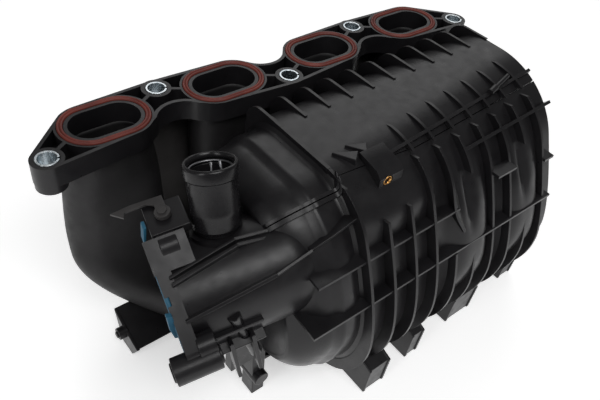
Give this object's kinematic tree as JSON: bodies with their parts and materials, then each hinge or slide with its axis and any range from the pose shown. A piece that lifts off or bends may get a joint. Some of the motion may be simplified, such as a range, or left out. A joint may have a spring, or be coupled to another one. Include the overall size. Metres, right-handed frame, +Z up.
{
  "type": "intake manifold",
  "caption": "Moulded black plastic intake manifold for an inline engine, with a ribbed drum, curved runners and sealed ports.",
  "frame": {"origin": "centre of the bounding box's bottom, on the plane that the feet stand on", "axes": "+X along the row of ports, away from the throttle; +Y to the runners' side; +Z up, out of the head flange's face"},
  "size_m": [0.3552, 0.1916, 0.1881],
  "materials": {
    "nylon": "satin, glass-filled nylon",
    "seal_rubber": "satin",
    "blue_rubber": "satin",
    "zinc_steel": "zinc plated",
    "brass": "turned",
    "spring_steel": "drawn wire"
  },
  "bodies": {
    "root": {"front_shell": "nylon", "harness_clip": "nylon", "head_flange": "nylon", "hose_stub": "nylon", "inner_runner_shell": "nylon", "limiter_1": "zinc_steel", "limiter_2": "zinc_steel", "limiter_3": "zinc_steel", "limiter_4": "zinc_steel", "limiter_5": "zinc_steel", "port_seal_1": "seal_rubber", "port_seal_2": "seal_rubber", "port_seal_3": "seal_rubber", "port_seal_4": "seal_rubber", "runner_1": "nylon", "runner_2": "nylon", "runner_3": "nylon", "runner_4": "nylon", "sensor_insert": "brass", "socket_clip": "spring_steel", "socket_seal": "blue_rubber", "throttle_duct": "nylon", "throttle_insert_1": "brass", "throttle_insert_2": "brass", "throttle_insert_3": "brass", "throttle_insert_4": "brass", "throttle_seal": "blue_rubber", "upper_shell": "nylon"}
  },
  "joints": []
}
